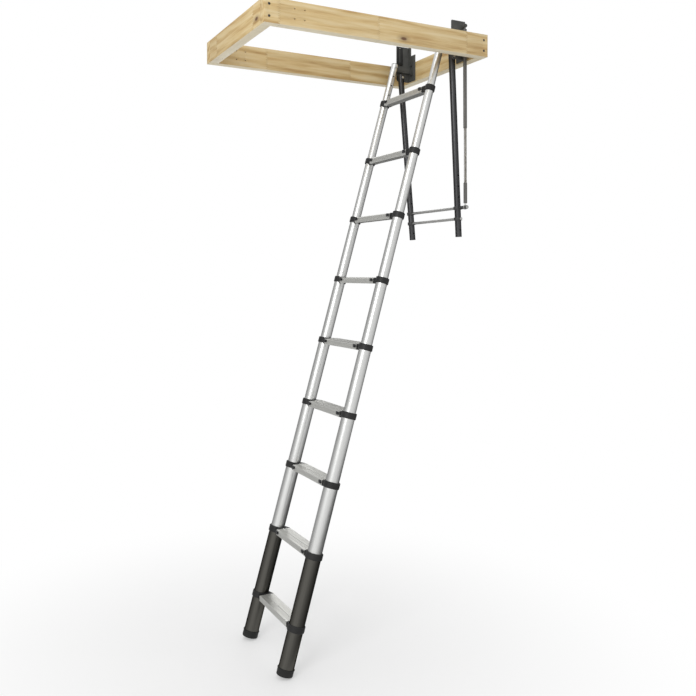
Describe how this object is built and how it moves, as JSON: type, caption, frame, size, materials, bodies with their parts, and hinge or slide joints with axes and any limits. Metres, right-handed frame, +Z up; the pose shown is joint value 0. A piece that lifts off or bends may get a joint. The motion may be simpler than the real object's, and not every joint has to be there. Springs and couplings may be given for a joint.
{
  "type": "telescoping loft ladder",
  "caption": "Telescoping loft ladder with release buttons, hung from hinge brackets in a timber hatch frame with a spring-balanced swing cradle.",
  "frame": {"origin": "centre of the hatch opening, in the plane of the frame's underside (the ceiling plane)", "axes": "+X towards the hinge end, +Y towards the far side, away from the balance spring, +Z up"},
  "size_m": [1.03, 0.68, 2.7178],
  "materials": {
    "pine": "planed, clear",
    "screw_steel": "blackened",
    "bracket_coat": "satin powder coat",
    "catch_coat": "satin powder coat",
    "zinc": "bright zinc",
    "arm_paint": "semi-gloss black",
    "fitting_plastic": "satin",
    "sleeve_paint": "satin",
    "spring_steel": "oiled",
    "rubber": "matt",
    "black_plastic": "satin",
    "black_tube": "black anodised",
    "anodised_tube": "clear anodised",
    "rung_aluminium": "satin anodised",
    "button_plastic": "satin"
  },
  "bodies": {
    "frame": {"side_boards": "pine", "end_boards": "pine", "wood_screws": "screw_steel", "bracket_far": "bracket_coat", "bracket_near": "bracket_coat", "pivot_bolts": "zinc", "stow_catches": "catch_coat"},
    "section_9": {"tubes_9": "anodised_tube", "head_caps": "black_plastic"},
    "section_8": {"tubes_8": "anodised_tube", "collars_9": "black_plastic", "rung_9": "rung_aluminium"},
    "section_7": {"tubes_7": "anodised_tube", "collars_8": "black_plastic", "rung_8": "rung_aluminium"},
    "section_6": {"tubes_6": "anodised_tube", "collars_7": "black_plastic", "rung_7": "rung_aluminium"},
    "section_5": {"tubes_5": "anodised_tube", "collars_6": "black_plastic", "rung_6": "rung_aluminium"},
    "section_4": {"tubes_4": "anodised_tube", "collars_5": "black_plastic", "rung_5": "rung_aluminium"},
    "section_3": {"tubes_3": "anodised_tube", "collars_4": "black_plastic", "rung_4": "rung_aluminium"},
    "section_2": {"tubes_2": "anodised_tube", "collars_3": "black_plastic", "rung_3": "rung_aluminium"},
    "section_1": {"tubes_1": "black_tube", "collars_2": "black_plastic", "rung_2": "rung_aluminium", "collars_1": "black_plastic", "rung_1": "rung_aluminium", "feet": "rubber"},
    "cradle": {"arm_far": "arm_paint", "arm_near": "arm_paint", "cross_rods": "zinc", "arm_fittings": "fitting_plastic"},
    "spring_upper": {"spring_upper_sleeve": "sleeve_paint"},
    "spring_lower": {"spring_lower_sleeve": "sleeve_paint", "spring_hook": "zinc", "spring_coil": "spring_steel"},
    "button_far_9": {"button_far_9": "button_plastic"},
    "button_near_9": {"button_near_9": "button_plastic"},
    "button_far_8": {"button_far_8": "button_plastic"},
    "button_near_8": {"button_near_8": "button_plastic"},
    "button_far_7": {"button_far_7": "button_plastic"},
    "button_near_7": {"button_near_7": "button_plastic"},
    "button_far_6": {"button_far_6": "button_plastic"},
    "button_near_6": {"button_near_6": "button_plastic"},
    "button_far_5": {"button_far_5": "button_plastic"},
    "button_near_5": {"button_near_5": "button_plastic"},
    "button_far_4": {"button_far_4": "button_plastic"},
    "button_near_4": {"button_near_4": "button_plastic"},
    "button_far_3": {"button_far_3": "button_plastic"},
    "button_near_3": {"button_near_3": "button_plastic"},
    "button_far_2": {"button_far_2": "button_plastic"},
    "button_near_2": {"button_near_2": "button_plastic"}
  },
  "joints": [
    {"name": "ladder_swing", "type": "hinge", "parent": "frame", "child": "section_9", "pos_m": [0.369, 0, 0.058], "axis": [0, 1, 0], "range_deg": [0, 64]},
    {"name": "section_8_slide", "type": "slide", "parent": "section_9", "child": "section_8", "axis": [0.2756, 0, 0.9613], "range_m": [0, 0.13]},
    {"name": "section_7_slide", "type": "slide", "parent": "section_8", "child": "section_7", "axis": [0.2756, 0, 0.9613], "range_m": [0, 0.248]},
    {"name": "section_6_slide", "type": "slide", "parent": "section_7", "child": "section_6", "axis": [0.2756, 0, 0.9613], "range_m": [0, 0.248]},
    {"name": "section_5_slide", "type": "slide", "parent": "section_6", "child": "section_5", "axis": [0.2756, 0, 0.9613], "range_m": [0, 0.248]},
    {"name": "section_4_slide", "type": "slide", "parent": "section_5", "child": "section_4", "axis": [0.2756, 0, 0.9613], "range_m": [0, 0.248]},
    {"name": "section_3_slide", "type": "slide", "parent": "section_4", "child": "section_3", "axis": [0.2756, 0, 0.9613], "range_m": [0, 0.248]},
    {"name": "section_2_slide", "type": "slide", "parent": "section_3", "child": "section_2", "axis": [0.2756, 0, 0.9613], "range_m": [0, 0.248]},
    {"name": "section_1_slide", "type": "slide", "parent": "section_2", "child": "section_1", "axis": [0.2756, 0, 0.9613], "range_m": [0, 0.248]},
    {"name": "cradle_swing", "type": "hinge", "parent": "frame", "child": "cradle", "pos_m": [0.418, 0, 0.019], "axis": [0, 1, 0], "range_deg": [0, 64]},
    {"name": "spring_top_swing", "type": "hinge", "parent": "frame", "child": "spring_upper", "pos_m": [0.459, -0.252, 0.15], "axis": [0, 1, 0], "range_deg": [0, 53.42]},
    {"name": "spring_foot_swing", "type": "hinge", "parent": "cradle", "child": "spring_lower", "pos_m": [0.46409, -0.252, -0.64013], "axis": [0, 1, 0], "range_deg": [-10.6, 0], "deforming": ["spring_coil"]},
    {"name": "button_far_9_press", "type": "slide", "parent": "section_8", "child": "button_far_9", "axis": [0, -1, 0], "range_m": [0, 0.01], "stiffness_N_per_m": 300},
    {"name": "button_near_9_press", "type": "slide", "parent": "section_8", "child": "button_near_9", "axis": [0, 1, 0], "range_m": [0, 0.01], "stiffness_N_per_m": 300},
    {"name": "button_far_8_press", "type": "slide", "parent": "section_7", "child": "button_far_8", "axis": [0, -1, 0], "range_m": [0, 0.01], "stiffness_N_per_m": 300},
    {"name": "button_near_8_press", "type": "slide", "parent": "section_7", "child": "button_near_8", "axis": [0, 1, 0], "range_m": [0, 0.01], "stiffness_N_per_m": 300},
    {"name": "button_far_7_press", "type": "slide", "parent": "section_6", "child": "button_far_7", "axis": [0, -1, 0], "range_m": [0, 0.01], "stiffness_N_per_m": 300},
    {"name": "button_near_7_press", "type": "slide", "parent": "section_6", "child": "button_near_7", "axis": [0, 1, 0], "range_m": [0, 0.01], "stiffness_N_per_m": 300},
    {"name": "button_far_6_press", "type": "slide", "parent": "section_5", "child": "button_far_6", "axis": [0, -1, 0], "range_m": [0, 0.01], "stiffness_N_per_m": 300},
    {"name": "button_near_6_press", "type": "slide", "parent": "section_5", "child": "button_near_6", "axis": [0, 1, 0], "range_m": [0, 0.01], "stiffness_N_per_m": 300},
    {"name": "button_far_5_press", "type": "slide", "parent": "section_4", "child": "button_far_5", "axis": [0, -1, 0], "range_m": [0, 0.01], "stiffness_N_per_m": 300},
    {"name": "button_near_5_press", "type": "slide", "parent": "section_4", "child": "button_near_5", "axis": [0, 1, 0], "range_m": [0, 0.01], "stiffness_N_per_m": 300},
    {"name": "button_far_4_press", "type": "slide", "parent": "section_3", "child": "button_far_4", "axis": [0, -1, 0], "range_m": [0, 0.01], "stiffness_N_per_m": 300},
    {"name": "button_near_4_press", "type": "slide", "parent": "section_3", "child": "button_near_4", "axis": [0, 1, 0], "range_m": [0, 0.01], "stiffness_N_per_m": 300},
    {"name": "button_far_3_press", "type": "slide", "parent": "section_2", "child": "button_far_3", "axis": [0, -1, 0], "range_m": [0, 0.01], "stiffness_N_per_m": 300},
    {"name": "button_near_3_press", "type": "slide", "parent": "section_2", "child": "button_near_3", "axis": [0, 1, 0], "range_m": [0, 0.01], "stiffness_N_per_m": 300},
    {"name": "button_far_2_press", "type": "slide", "parent": "section_1", "child": "button_far_2", "axis": [0, -1, 0], "range_m": [0, 0.01], "stiffness_N_per_m": 300},
    {"name": "button_near_2_press", "type": "slide", "parent": "section_1", "child": "button_near_2", "axis": [0, 1, 0], "range_m": [0, 0.01], "stiffness_N_per_m": 300}
  ],
  "couplings": [
    {"joint": "cradle_swing", "follows": "ladder_swing", "ratio": 1},
    {"joint": "spring_top_swing", "follows": "ladder_swing", "ratio": 0.8346},
    {"joint": "spring_foot_swing", "follows": "ladder_swing", "ratio": -0.1654}
  ]
}
